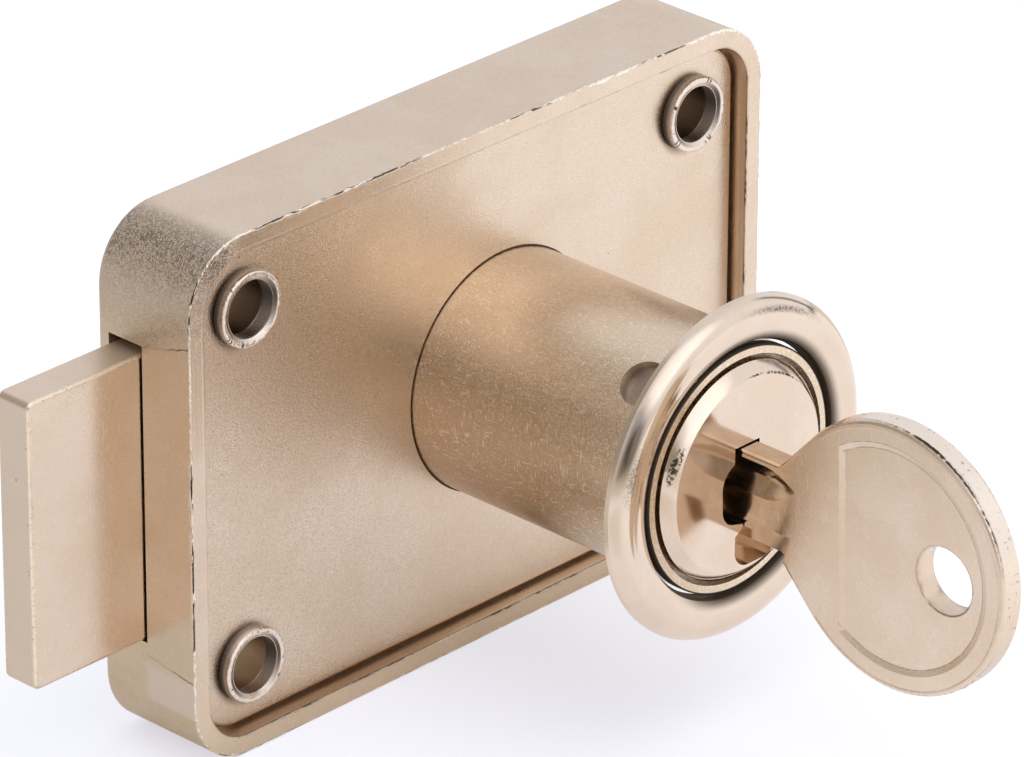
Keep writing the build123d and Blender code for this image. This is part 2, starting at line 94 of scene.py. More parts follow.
def feed(tree, socket, value):
    """Links another node's output to a socket, or sets the socket to a plain value."""
    if isinstance(value, bpy.types.NodeSocket):
        tree.links.new(value, socket)
    else:
        socket.default_value = value


def put(tree, kind, sockets=None, **fields):
    """Adds a node. sockets maps input names or numbers to values or to other nodes' outputs."""
    node = tree.nodes.new(kind)
    for field, value in fields.items():
        setattr(node, field, value)
    for key, value in (sockets or {}).items():
        feed(tree, node.inputs[key], value)
    return node


def calc(tree, operation, *values):
    """Adds a Math node and returns its output."""
    return put(tree, "ShaderNodeMath", dict(enumerate(values)), operation=operation).outputs[0]


def fade(tree, value, low, high, out_low=0.0, out_high=1.0):
    """Adds a smooth step of value from low to high and returns its output."""
    return put(tree, "ShaderNodeMapRange", {
        "Value": value, "From Min": low, "From Max": high, "To Min": out_low, "To Max": out_high,
    }, interpolation_type="SMOOTHSTEP").outputs[0]


def towards(tree, direction, place):
    """How far a vector reaches along a direction."""
    unit = np.array(direction) / np.linalg.norm(direction)
    return put(tree, "ShaderNodeVectorMath", {0: place, 1: tuple(unit)},
               operation="DOT_PRODUCT").outputs["Value"]


def blank(data):
    """Empties the node tree of a world or material and returns it."""
    data.use_nodes = True
    data.node_tree.nodes.clear()
    return data.node_tree


def blend_colour(tree, share, first, second):
    """Mixes two colours by a share."""
    ends = [end if isinstance(end, bpy.types.NodeSocket) else (*end, 1) for end in (first, second)]
    return put(tree, "ShaderNodeMix", {0: share, 6: ends[0], 7: ends[1]}, data_type="RGBA").outputs[2]


def around(tree, direction, way, inner, outer, level, elsewhere=1.0):
    """A level within inner degrees of a direction, which turns softly to another beyond outer degrees."""
    return fade(tree, towards(tree, direction, way), cos(radians(outer)), cos(radians(inner)),
                elsewhere, level)


def from_spot(tree, spot, place):
    """Distance between two places."""
    return put(tree, "ShaderNodeVectorMath", {0: spot, 1: place}, operation="DISTANCE").outputs["Value"]


world = bpy.data.worlds.new("surround")
bpy.context.scene.world = world
tree = blank(world)
path = put(tree, "ShaderNodeLightPath").outputs
way = put(tree, "ShaderNodeTexCoord").outputs["Generated"]
way_x, way_y, way_z = put(tree, "ShaderNodeSeparateXYZ", {0: way}).outputs
tent = fade(tree, towards(tree, front_right, way), -0.7, 0.95, 0.80, 1.14)
seam = fade(tree, calc(tree, "ABSOLUTE", calc(tree, "ADD", way_y, 0.08)), 0.01, 0.13, 0.25, 1.0)
off_seam = calc(tree, "MAXIMUM", fade(tree, way_x, 0.35, 0.6, 1.0, 0.0), fade(tree, way_z, 0.4, 0.65))
gap_behind = around(tree, behind_left, way, 8, 46, 1.0, 0.0)
for part in (
    around(tree, above_camera, way, 16, 40, 1.6),
    around(tree, beside_camera, way, 6, 22, 0.75),
    around(tree, front_left, way, 5, 26, 0.45),
    around(tree, behind_right, way, 8, 24, 1.14),
    calc(tree, "MAXIMUM", seam, off_seam),
    calc(tree, "MULTIPLY_ADD", gap_behind, -0.46, 1.0),
):
    tent = calc(tree, "MULTIPLY", tent, part)
reflected = calc(tree, "MAXIMUM", path["Is Glossy Ray"], path["Is Transmission Ray"])
level = calc(tree, "MULTIPLY_ADD", reflected, calc(tree, "SUBTRACT", tent, plain_level), plain_level)
warm_share = calc(tree, "MAXIMUM", gap_behind, around(tree, front_left, way, 5, 30, 1.0, 0.0))
air_colour = blend_colour(tree, warm_share, (0.975, 1.0, 1.08), (1.06, 1.0, 0.9))
air = put(tree, "ShaderNodeBackground", {"Color": air_colour, "Strength": level})
clear = put(tree, "ShaderNodeBackground", {"Color": (1, 1, 1, 1), "Strength": 1.0})
either = put(tree, "ShaderNodeMixShader", {0: path["Is Camera Ray"], 1: air.outputs[0], 2: clear.outputs[0]})
put(tree, "ShaderNodeOutputWorld", {"Surface": either.outputs[0]})

# The floor gives off a plain light of its own, which the metal sees as brighter on the right, and as darker
# at the front left and under the case's edge
floor_z = cad_bounds[0].z - floor_gap * mm
floor_mesh = bpy.data.meshes.new("floor")
floor_mesh.from_pydata(
    [(x * floor_reach, y * floor_reach, floor_z) for x, y in ((-1, -1), (1, -1), (1, 1), (-1, 1))],
    [], [(0, 1, 2, 3)],
)
floor = bpy.data.objects.new("floor", floor_mesh)
bpy.context.scene.collection.objects.link(floor)
paint = bpy.data.materials.new("floor_paint")
tree = blank(paint)
path = put(tree, "ShaderNodeLightPath").outputs
spot = put(tree, "ShaderNodeTexCoord").outputs["Object"]
spot_y = put(tree, "ShaderNodeSeparateXYZ", {0: spot}).outputs["Y"]
matt = put(tree, "ShaderNodeBsdfDiffuse", {"Color": (0.6, 0.6, 0.6, 1)})
on_right = fade(tree, towards(tree, (*front_right[:2], 0), spot), -0.15, 0.12)
dark_spot = fade(tree, from_spot(tree, spot, (-0.048, -0.05, floor_z)), 0.01, 0.04, 0.8, 0.0)
on_left = calc(tree, "MAXIMUM", dark_spot, fade(tree, towards(tree, (*front_left[:2], 0), spot), 0.06, 0.2))
under_edge = fade(tree, spot_y, -0.006, 0.0)
seen_in_metal = calc(tree, "MULTIPLY_ADD", on_right, 0.2, 0.43)
for share, loss in ((on_left, -0.45), (under_edge, -0.55)):
    seen_in_metal = calc(tree, "MULTIPLY", seen_in_metal, calc(tree, "MULTIPLY_ADD", share, loss, 1.0))
warmer = calc(tree, "MULTIPLY", calc(tree, "MAXIMUM", on_left, under_edge), path["Is Glossy Ray"])
glow_level = calc(tree, "MAXIMUM", calc(tree, "MULTIPLY", path["Is Camera Ray"], 0.5),
                  calc(tree, "MULTIPLY", path["Is Glossy Ray"], seen_in_metal))
glow_colour = blend_colour(tree, on_right, (0.97, 1.0, 1.2), (0.985, 1.0, 1.06))
glow_colour = blend_colour(tree, warmer, glow_colour, (1.0, 0.93, 0.76))
glow = put(tree, "ShaderNodeEmission", {"Color": glow_colour, "Strength": glow_level})
both = put(tree, "ShaderNodeAddShader", {0: matt.outputs[0], 1: glow.outputs[0]})
put(tree, "ShaderNodeOutputMaterial", {"Surface": both.outputs[0]})
floor_mesh.materials.append(paint)

lamp = bpy.data.lights.new("lamp_above", "AREA")
lamp.shape = "RECTANGLE"
lamp.size, lamp.size_y, lamp.energy = 0.7, 0.5, 1.2
facing = lamp_place / np.linalg.norm(lamp_place)
across = np.cross((0, 0, 1), facing)
across /= np.linalg.norm(across)
lamp_holder = bpy.data.objects.new("lamp_above", lamp)
lamp_holder.visible_glossy = False
stand(lamp_holder, across, np.cross(facing, across), facing, lamp_place)

# Case: die-cast zinc, trimmed at its rim and barrelled, which leaves a ragged bright burr along the rim's
# edges. It is plated with satin nickel, a little pinkish where it is thick and tan where it is thin, and low
# on its left wall it is painted lighter and pinker, a painted reflection.
case_half_width, case_half_height, case_corner = 28.2, 19.6, 5.0
case_centre_x = -3.0
case_left_x = case_centre_x - case_half_width
rim_wall = 1.4
post_reach_x, post_reach_z = 22.0, 13.5
post_hole_radius = 2.1
patch_top, patch_top_slope = 12.75, 0.2935
patch_bottom, patch_bottom_slope = -12.59, 0.162
pale_nickel = (0.72, 0.58, 0.45)
warm_nickel = (0.695, 0.55, 0.41)
worn_and_highlight_nickel = (0.92, 0.82, 0.70)
scratched_nickel = (0.93, 0.84, 0.74)
pinkish_reflection = (0.82, 0.72, 0.68)
tarnish_and_dark_reflection = (0.2, 0.15, 0.115)
dirt_and_shade = (0.05, 0.035, 0.025)


def ragged(rows, columns, row_reach, column_reach, seed):
    """Random heights on a grid, blurred by a Gaussian over that many rows and columns, with spread 1."""
    field = np.random.default_rng(seed).normal(size=(rows, columns))
    down = np.exp(-2 * (pi * np.fft.fftfreq(rows) * row_reach) ** 2)
    along = np.exp(-2 * (pi * np.fft.fftfreq(columns) * column_reach) ** 2)
    field = np.fft.ifft2(np.fft.fft2(field) * np.outer(down, along)).real
    return (field - field.mean()) / field.std()


def soft_line(points, count):
    """Even steps along the runs between the points, each averaged with its neighbours over a Gaussian that
    is one step wide."""
    points = np.array(points, float)
    reach = np.concatenate([[0], np.cumsum(np.linalg.norm(np.diff(points, axis=0), axis=1))])
    steps = np.linspace(0, reach[-1], count)
    line = np.stack([np.interp(steps, reach, points[:, k]) for k in range(2)])
    side = 3
    weights = np.exp(-0.5 * np.arange(-side, side + 1) ** 2)
    padded = np.pad(line, ((0, 0), (side, side)), mode="reflect", reflect_type="odd")
    return np.stack([np.convolve(part, weights / weights.sum(), mode="valid") for part in padded])


def raised(line, height):
    """A profile line moved out along its own left-hand normal by a height that differs from column to
    column."""
    step = np.gradient(line, axis=1)
    step /= np.linalg.norm(step, axis=0)
    return line[0][:, None] - step[1][:, None] * height, line[1][:, None] + step[0][:, None] * height


def surface(name, grid, body, material, marks=None, closed=True):
    """A band of faces over a grid of points, rows by columns by (x, y, z) in mm. Where it is closed, its last
    column meets the first. marks holds values from 0 to 1 at each point, kept for the material."""
    rows, columns = grid.shape[:2]
    index = np.arange(rows * columns).reshape(rows, columns)
    if closed:
        index = np.concatenate([index, index[:, :1]], 1)
    corners = np.stack([index[:-1, :-1], index[:-1, 1:], index[1:, 1:], index[1:, :-1]], -1).reshape(-1, 4)
    mesh = bpy.data.meshes.new(name)
    mesh.from_pydata((grid.reshape(-1, 3) * mm).tolist(), [], corners.tolist())
    mesh.shade_smooth()
    for mark, value in (marks or {}).items():
        value = np.broadcast_to(value, (rows, columns)).ravel().astype(np.float32)
        mesh.attributes.new(mark, "FLOAT", "POINT").data.foreach_set("value", value)
    mesh.materials.append(material)
    piece = bpy.data.objects.new(name, mesh)
    bpy.context.scene.collection.objects.link(piece)
    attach(piece, body)


def rim_path(step):
    """Points and outward normals along the case's outline: each corner's arc is its centre plus its radius
    along a turning normal, and on a straight side the normal stays while the centre slides to the next
    corner."""
    long_side = 2 * (case_half_width - case_corner)
    short_side = 2 * (case_half_height - case_corner)
    arc = case_corner * pi / 2
    runs = np.cumsum([0, short_side, arc, long_side, arc, short_side, arc, long_side, arc])
    count = int(runs[-1] / step)
    place = np.arange(count) * runs[-1] / count
    turn = np.radians(np.interp(place, runs, [0, 0, 90, 90, 180, 180, 270, 270, 360]))
    centre_x = np.interp(place, runs, np.array([1, 1, 1, -1, -1, -1, -1, 1, 1]) * long_side / 2)
    centre_z = np.interp(place, runs, np.array([-1, 1, 1, 1, 1, -1, -1, -1, -1]) * short_side / 2)
    normal = np.stack([np.cos(turn), np.sin(turn)])
    return np.stack([centre_x + case_centre_x, centre_z]) + case_corner * normal, normal


def group_of(name, inputs, outputs):
    """A node group with float sockets, or vector or colour ones where their names say so, and what its
    inputs give."""
    kinds = {"Vector": "NodeSocketVector", "Pale": "NodeSocketColor", "Warm": "NodeSocketColor",
             "Color": "NodeSocketColor"}
    group = bpy.data.node_groups.new(name, "ShaderNodeTree")
    for side, names in (("INPUT", inputs), ("OUTPUT", outputs)):
        for socket in names:
            group.interface.new_socket(socket, in_out=side, socket_type=kinds.get(socket, "NodeSocketFloat"))
    return group, put(group, "NodeGroupInput").outputs


def noise(tree, place, scale, detail=2.0, rough=0.55, twist=0.0):
    """Adds a Noise Texture and returns its output."""
    return put(tree, "ShaderNodeTexNoise", {
        "Vector": place, "Scale": scale, "Detail": detail, "Roughness": rough, "Distortion": twist,
    }).outputs[0]


# Plating, used on every outer piece: soft clouds of a pale and a warm colour, a fine grain in colour and
# height, and rare dark specks
plating, given = group_of(
    "plating",
    ("Vector", "Pale", "Warm", "Cloud Scale", "Grain Scale", "Grain Contrast", "Roughness",
     "Roughness Spread", "Speck Share"),
    ("Color", "Roughness", "Height"),
)
clouds = fade(plating, noise(plating, given["Vector"], given["Cloud Scale"], 5.0, 0.62), 0.38, 0.64)
cloud_colour = blend_colour(plating, clouds, given["Pale"], given["Warm"])
grain = calc(plating, "SUBTRACT", noise(plating, given["Vector"], given["Grain Scale"], 3.0, 0.6), 0.5)
shade = calc(plating, "MULTIPLY_ADD", grain, given["Grain Contrast"], 1.0)
grained = put(plating, "ShaderNodeVectorMath", {0: cloud_colour, "Scale": shade},
              operation="SCALE").outputs[0]
cells = put(plating, "ShaderNodeTexVoronoi", {"Vector": given["Vector"], "Scale": 1300.0}).outputs
cell_number = put(plating, "ShaderNodeSeparateColor", {0: cells["Color"]}).outputs
speck_reach = calc(plating, "MULTIPLY_ADD", cell_number[1], 0.1, 0.05)
speck = calc(plating, "MULTIPLY",
             calc(plating, "LESS_THAN", cells["Distance"], speck_reach),
             calc(plating, "LESS_THAN", cell_number[0], given["Speck Share"]))
rough = calc(plating, "MULTIPLY_ADD", calc(plating, "ADD", grain, clouds), given["Roughness Spread"],
             given["Roughness"])
put(plating, "NodeGroupOutput", {
    "Color": blend_colour(plating, speck, grained, (0.2, 0.15, 0.11)),
    "Roughness": rough,
    "Height": calc(plating, "SUBTRACT", grain, speck),
})

# Hair scratches, from pieces rubbing in the plating barrel: short strokes, each the crest of a noise
# stretched along one of three directions
hairs, given = group_of("hair_scratches", ("Vector", "Scale", "Share"), ("Mask",))
lowest = calc(hairs, "MULTIPLY_ADD", given["Share"], -0.2, 0.74)
crests = 0.0
for turn in ((0.3, 0.9, 0.2), (1.4, 0.2, 1.1), (2.2, 1.7, 0.5)):
    turned = put(hairs, "ShaderNodeVectorRotate", {"Vector": given["Vector"], "Rotation": turn},
                 rotation_type="EULER_XYZ").outputs[0]
    narrow = put(hairs, "ShaderNodeVectorMath", {0: turned, 1: (9, 1, 9)}, operation="MULTIPLY").outputs[0]
    above = calc(hairs, "SUBTRACT", noise(hairs, narrow, given["Scale"], 0.0, 0.5, 0.25), lowest)
    crests = calc(hairs, "MAXIMUM", crests, above)
put(hairs, "NodeGroupOutput", {"Mask": fade(hairs, crests, 0.0, 0.05)})


def plated(name, roughness, pale=pale_nickel, warm=warm_nickel, contrast=0.16, depth=0.0035,
           cloud_scale=170.0, spread=0.06, specks=0.02):
    """A plated material on Object coordinates, as the values that each piece then adds to: its place, colour,
    roughness, height in mm and share of bare metal. depth is the grain's height in mm."""
    material = bpy.data.materials.new(name)
    material.use_nodes = True
    tree = material.node_tree
    place = put(tree, "ShaderNodeTexCoord").outputs["Object"]
    coat = put(tree, "ShaderNodeGroup", {
        "Vector": place, "Pale": (*pale, 1), "Warm": (*warm, 1), "Cloud Scale": cloud_scale,
        "Grain Scale": 6500.0, "Grain Contrast": contrast, "Roughness": roughness,
        "Roughness Spread": spread, "Speck Share": specks,
    }, node_tree=plating).outputs
    return {"material": material, "tree": tree, "place": place, "colour": coat["Color"],
            "rough": coat["Roughness"], "height": calc(tree, "MULTIPLY", coat["Height"], depth), "metal": 1.0}


def finish_metal(made):
    """Joins a material's colour, roughness, share of bare metal and height to its shader, and returns it."""
    tree = made["tree"]
    shader = tree.nodes["Principled BSDF"].inputs
    bump = put(tree, "ShaderNodeBump", {"Height": made["height"], "Strength": 1.0, "Distance": mm})
    feed(tree, shader["Base Color"], made["colour"])
    feed(tree, shader["Roughness"], made["rough"])
    feed(tree, shader["Metallic"], made["metal"])
    feed(tree, shader["Normal"], bump.outputs[0])
    shader["Specular IOR Level"].default_value = 0.1
    return made["material"]


def tint(made, share, colour):
    """Mixes a colour into a material by a share."""
    made["colour"] = blend_colour(made["tree"], share, made["colour"], colour)


def lift(made, share, height):
    """Raises a material's surface by a share of a height in mm, or sinks it where that is negative."""
    made["height"] = calc(made["tree"], "MULTIPLY_ADD", share, height, made["height"])


def scratch(made, scale, share, depth, lighten):
    """Adds hair scratches to a material's height, and makes them a little lighter."""
    tree = made["tree"]
    hair = put(tree, "ShaderNodeGroup", {"Vector": made["place"], "Scale": scale, "Share": share},
               node_tree=hairs).outputs["Mask"]
    lift(made, hair, depth)
    tint(made, calc(tree, "MULTIPLY", hair, lighten), scratched_nickel)


def soil_and_shade(made, share, colour):
    """Covers a material with a matt dark colour by a share, for dirt and for painted shade."""
    tree = made["tree"]
    tint(made, share, colour)
    made["rough"] = calc(tree, "MAXIMUM", made["rough"], calc(tree, "MULTIPLY", share, 0.7))
    made["metal"] = calc(tree, "MULTIPLY", made["metal"], calc(tree, "SUBTRACT", 1.0, share))


def apply_marks(made):
    """Rubs a material bright, as wear and as painted highlight, then darkens it with dirt and painted shade,
    where the piece's own marks say so. They are 0 elsewhere.
    """
    rubbed_and_highlight, grime_and_shade = (put(made["tree"], "ShaderNodeAttribute", attribute_name=mark).outputs["Fac"]
                     for mark in ("rubbed_and_highlight", "grime_and_shade"))
    tint(made, rubbed_and_highlight, worn_and_highlight_nickel)
    soil_and_shade(made, grime_and_shade, dirt_and_shade)


def split(made):
    """The three coordinates of a material's place."""
    return put(made["tree"], "ShaderNodeSeparateXYZ", {0: made["place"]}).outputs


def fade_mm(tree, value, low, high, out_low=0.0, out_high=1.0):
    """A smooth step of a distance, from low to high mm."""
    return fade(tree, value, low * mm, high * mm, out_low, out_high)


def ridge(tree, value, centre, half_width):
    """1 where a value is at a centre, falling softly to 0 half a width away."""
    off = calc(tree, "ABSOLUTE", calc(tree, "SUBTRACT", value, centre))
    return fade(tree, off, 0.0, half_width, 1.0, 0.0)


def sector(tree, angle, centre, half_width):
    """1 where an angle is at a centre, falling softly to 0 half a width away, both in degrees."""
    return ridge(tree, angle, radians(centre), radians(half_width))


def product(tree, *factors):
    """Several values multiplied together."""
    result = factors[0]
    for factor in factors[1:]:
        result = calc(tree, "MULTIPLY", result, factor)
    return result


def length(tree, first, second):
    """Length of a vector given by two parts."""
    squares = [calc(tree, "MULTIPLY", part, part) for part in (first, second)]
    return calc(tree, "SQRT", calc(tree, "ADD", *squares))


def post_offset(tree, x, z):
    """Sideways offset and distance from the axis of the nearest post."""
    from_middle = calc(tree, "SUBTRACT", x, case_centre_x * mm)
    reach = calc(tree, "MULTIPLY", calc(tree, "SIGN", from_middle), post_reach_x * mm)
    beside_x = calc(tree, "SUBTRACT", from_middle, reach)
    beside_z = calc(tree, "SUBTRACT", calc(tree, "ABSOLUTE", z), post_reach_z * mm)
    return beside_x, length(tree, beside_x, beside_z)


def step_up(value, edge, soft):
    """0 below an edge, 1 above it, over a soft width."""
    return np.clip((value - edge) / soft + 0.5, 0, 1)


def hump(value, centre, width):
    """1 at a centre, falling off on both sides as a Gaussian of that width."""
    return np.exp(-(((value - centre) / width) ** 2))


def near(line, across, depth_y, spread):
    """1 at a place on a profile line, falling off around it as a Gaussian, as a column of a grid."""
    return np.exp(-((line[0] - across) ** 2 + (line[1] - depth_y) ** 2) / spread)[:, None]


made = plated("satin_case", 0.28, contrast=0.26, depth=0.006, specks=0.006)
tree = made["tree"]
scratch(made, 1000.0, 0.25, 0.003, 0.15)
x, y, z = split(made)
# Painted shade darkens the screw holes inside, the one at the lower left less than the others
from_post = post_offset(tree, x, z)[1]
lower_left = calc(tree, "MULTIPLY", calc(tree, "LESS_THAN", x, case_centre_x * mm),
                  calc(tree, "LESS_THAN", z, 0.0))
hole_shade = product(tree, fade_mm(tree, from_post, post_hole_radius + 0.04, post_hole_radius + 0.1, 1.0, 0.0),
                  fade_mm(tree, y, 0.5, 1.6, 0.0, 0.75), calc(tree, "MULTIPLY_ADD", lower_left, -0.6, 1.0))
tint(made, hole_shade, (0.12, 0.075, 0.04))
# Tumbling marks: dense curls over the upper left corner. The dark between them is partly tarnish and partly a
# painted dark reflection, heaviest in a band round the corner's curve.
corner = calc(tree, "MULTIPLY", fade_mm(tree, x, -28.0, -26.2, 1.0, 0.0), fade_mm(tree, z, 8.5, 16.5))
curl_line = ridge(tree, noise(tree, made["place"], 3500.0, 1.0, 0.5, 1.6), 0.5, 0.09)
lift(made, calc(tree, "MULTIPLY", corner, curl_line), 0.022)
corner_angle = calc(tree, "ARCTAN2", calc(tree, "SUBTRACT", z, (case_half_height - case_corner) * mm),
                    calc(tree, "SUBTRACT", (case_left_x + case_corner) * mm, x))
dark_reflection_band = calc(tree, "MULTIPLY", corner, sector(tree, corner_angle, 56, 42))
tint(made, calc(tree, "MULTIPLY", dark_reflection_band, fade(tree, curl_line, 0.0, 0.7, 0.72, 0.1)), tarnish_and_dark_reflection)
tint(made, calc(tree, "MULTIPLY", corner, fade(tree, curl_line, 0.0, 0.7, 0.3, 0.0)), tarnish_and_dark_reflection)
# Parting marks: on the left wall the die leaves a patch with a fine step along its two slanting sides
above = calc(tree, "SUBTRACT", calc(tree, "MULTIPLY_ADD", y, patch_top_slope, z), patch_top * mm)
below = calc(tree, "SUBTRACT", calc(tree, "MULTIPLY", y, patch_bottom_slope),
             calc(tree, "SUBTRACT", z, patch_bottom * mm))
outside = calc(tree, "MAXIMUM", above, below)
left_wall = calc(tree, "MULTIPLY", calc(tree, "LESS_THAN", x, (case_left_x + 0.05) * mm),
                 fade_mm(tree, y, 4.2, 5.2, 1.0, 0.0))
in_patch = fade_mm(tree, outside, -0.05, 0.05, 1.0, 0.0)
wavy = calc(tree, "MULTIPLY_ADD", noise(tree, made["place"], 1400.0), 0.3 * mm, outside)
from_crack = calc(tree, "ABSOLUTE", calc(tree, "SUBTRACT", wavy, 0.15 * mm))
crack = calc(tree, "MULTIPLY", fade_mm(tree, from_crack, 0.02, 0.08, 0.95, 0.0),
             fade_mm(tree, y, 0.8, 3.0, 1.0, 0.3))
lift(made, calc(tree, "MULTIPLY", left_wall, in_patch), -0.02)
# Below the patch the left wall is painted lighter and pinker, a painted reflection
tint(made, calc(tree, "MULTIPLY", left_wall, fade_mm(tree, z, -13, -12, 0.5, 0.0)), pinkish_reflection)
tint(made, calc(tree, "MULTIPLY", left_wall, crack), (0.2, 0.14, 0.1))
apply_marks(made)
satin_case = finish_metal(made)
nodes["case"].data.materials[0] = satin_case

# The rim's outer edge: trimmed sharp, rubbed bright and chipped, strongest above and on the left. Its bright
# line is partly wear and partly a painted highlight, which is wider on top. The piece runs from the side wall
# round the edge to the front.
outline, outward = rim_path(0.062)
columns = outline.shape[1]


def along_rim(across, depth_y):
    """A profile carried round the case's outline: each point stands off it along the outward normal."""
    return np.stack([outline[0] + outward[0] * across, depth_y, outline[1] + outward[1] * across], -1)


edge_rows = 31
edge_line = soft_line(
    [(-0.02, 0.62), (0.003, 0.48), (0.003, 0.05), (-0.05, -0.004), (-0.56, -0.004), (-0.68, 0.02)], edge_rows
)
along_edge = np.linspace(-0.55, 0.72, edge_rows)[:, None]
fine = ragged(edge_rows, columns, 1.0, 1.3, 11)
long_fine = ragged(edge_rows, columns, 1.1, 3.8, 12)
slow = ragged(1, columns, 1, 14, 13)[0]
cluster = np.clip(0.5 + 0.7 * ragged(1, columns, 1, 30, 14)[0], 0, 1)
upper_left = np.clip(0.55 + 0.3 * (outline[1] / case_half_height - outline[0] / case_half_width), 0.12, 1)
on_top = np.clip(0.45 + 0.55 * outward[1], 0.3, 1)
inner_width = 0.03 + 0.075 * on_top * np.clip(1 + 1.3 * slow, 0.0, 4.0)
rubbed_and_highlight = (step_up(along_edge + 0.03 + 0.04 * fine, 0, 0.05)
          * step_up(inner_width + 0.07 * fine, along_edge, 0.06))
pits = step_up(long_fine, 0.62 - 0.95 * cluster, 0.4) * np.exp(-((along_edge + 0.07) / 0.2) ** 4)
pits = np.clip(pits * upper_left * 2.1, 0, 1) * np.clip(2.5 * cluster - 0.5, 0, 1)
height = hump(along_edge, 0.04, 0.12) * upper_left * (0.014 + 0.012 * fine) - 0.06 * pits
across, depth_y = raised(edge_line, height)
surface("rim_outer_burr", along_rim(np.minimum(across, 0.004), depth_y), "root", satin_case,
        {"rubbed_and_highlight": rubbed_and_highlight * (1 - pits), "grime_and_shade": pits})

# The rim's inner edge: a thinner ragged lip over the plate's seat, chipped below and on the right, with a
# thin line of painted shade in the corner where it meets the plate
lip_rows = 22
lip_line = soft_line(
    [(-1.0, 0.02), (-1.12, -0.006), (-rim_wall, -0.012), (-rim_wall - 0.016, 0.1), (-rim_wall - 0.012, 0.5),
     (-rim_wall + 0.03, 0.62)], lip_rows
)
fine = ragged(lip_rows, columns, 1.1, 2.2, 21)
slow = ragged(1, columns, 1, 12, 22)[0]
crest = near(lip_line, -rim_wall, 0, 0.012) * (1.1 - upper_left) * np.clip(0.3 + 0.6 * slow, 0.0, 1.5)
lip_shade_line = near(lip_line, -rim_wall - 0.02, 0.04, 0.006)
grime_and_shade = np.maximum(np.clip(crest * 1.6 * (-fine - 0.7), 0, 1),
                   np.clip(lip_shade_line * (0.75 + 0.2 * slow + 0.2 * fine), 0, 0.9))
across, depth_y = raised(lip_line, crest * (0.006 + 0.014 * fine))
surface("rim_inner_lip", along_rim(across, depth_y), "root", satin_case, {"grime_and_shade": grime_and_shade})

# Post rings: the four cast posts are peened over the plate. The punch spreads each end into a bright ring
# that splits in places, with brown grime in the splits. Painted shade darkens each ring round its foot, most
# on the left, and along its inner edge, so that the hole looks wider.
crest_radius, crest_y = 2.58, 0.34
foot_radius, foot_y, inside_radius, split_radius = 2.7, 0.7, 2.4, 2.45
made = plated("peened_ends", 0.24, (0.80, 0.68, 0.59), (0.72, 0.59, 0.49), contrast=0.35, depth=0.008,
              specks=0.03)
scratch(made, 1600.0, 0.5, 0.004, 0.2)
apply_marks(made)
peened_ends = finish_metal(made)


def turned_about_y(across, depth_y, turn, centre_x=0.0, centre_z=0.0):
    """A profile turned about an axis along Y: each point goes round the axis at its own distance."""
    return np.stack(np.broadcast_arrays(
        centre_x + across * np.cos(turn), depth_y, centre_z + across * np.sin(turn)
    ), -1)


collar_rows, collar_columns = 56, 400
collar_line = soft_line(
    [(2.72, 1.3), (2.77, 1.18), (2.79, 0.6), (2.74, 0.4), (2.62, 0.335), (2.46, 0.36), (2.3, 0.43),
     (2.16, 0.5), (2.08, 0.56), (2.07, 1.5), (2.13, 1.7)], collar_rows
)
turn = np.arange(collar_columns) * 2 * pi / collar_columns
crest = near(collar_line, crest_radius, crest_y, 0.07)
shaded_foot = step_up(collar_line[0], foot_radius, 0.05)[:, None] * step_up(collar_line[1], foot_y, 0.5)[:, None]
for name, side_x, side_z, seed, splits in (
    ("post_ring_upper_left", -1, 1, 31, ((133, 0.20), (219, 0.15), (250, 0.10))),
    ("post_ring_upper_right", 1, 1, 32, ((62, 0.15), (152, 0.16), (219, 0.14), (300, 0.08))),
    ("post_ring_lower_left", -1, -1, 33, ((280, 0.13), (95, 0.07))),
    ("post_ring_lower_right", 1, -1, 34, ((40, 0.12), (170, 0.10))),
):
    fine = ragged(collar_rows, collar_columns, 1.2, 2.0, seed)
    slow = ragged(1, collar_columns, 1, 18, seed + 10)[0]
    height = crest * (0.02 * slow + 0.01 * fine)
    ring_hole_shade = (step_up(inside_radius + 0.03 * slow - collar_line[0][:, None], 0, 0.08)
              * (0.5 + 0.5 * np.cos(2 * turn - 0.35)))
    grime_and_shade = np.maximum(shaded_foot * (0.55 - 0.35 * np.cos(turn)), 0.9 * ring_hole_shade)
    grime_and_shade = np.maximum(grime_and_shade, crest * np.clip(-fine - 1.8, 0, 0.8))
    for angle, deep in splits:
        gap = np.abs((turn - radians(angle) + pi) % (2 * pi) - pi) * split_radius
        wander = 0.07 * np.cumsum(ragged(collar_rows, 1, 4, 1, seed + angle), 0) / 8
        notch = crest * hump(gap + wander, 0, 0.055)
        height = height - notch * deep
        grime_and_shade = np.maximum(grime_and_shade, np.clip(notch * 1.5, 0, 1))
    across, depth_y = raised(collar_line, height)
    grid = turned_about_y(across, depth_y, turn, case_centre_x + side_x * post_reach_x, side_z * post_reach_z)
    surface(name, grid, "root", peened_ends, {"grime_and_shade": grime_and_shade, "rubbed_and_highlight": 0.25 * crest})

# Cover plate: pressed steel, let into the rim, with a fine pressed grain under satin nickel, and darkened
# round each post with painted shade. The gap where the barrel comes through it is filled with a dark brown
# ring of painted shade.
plate_front, barrel_radius = 1.2, 9.0
gap_shade = finish_metal(
    plated("gap_shade", 0.6, (0.16, 0.1, 0.06), (0.1, 0.065, 0.04), contrast=0.5)
)
seam = np.array([(barrel_radius + 0.14, plate_front + 0.1), (barrel_radius + 0.07, plate_front + 0.03),
                 (barrel_radius - 0.01, plate_front + 0.08)])
turn = np.arange(360) * 2 * pi / 360
grid = turned_about_y(seam[:, :1], seam[:, 1:], turn)
surface("barrel_seam", grid, "root", gap_shade)

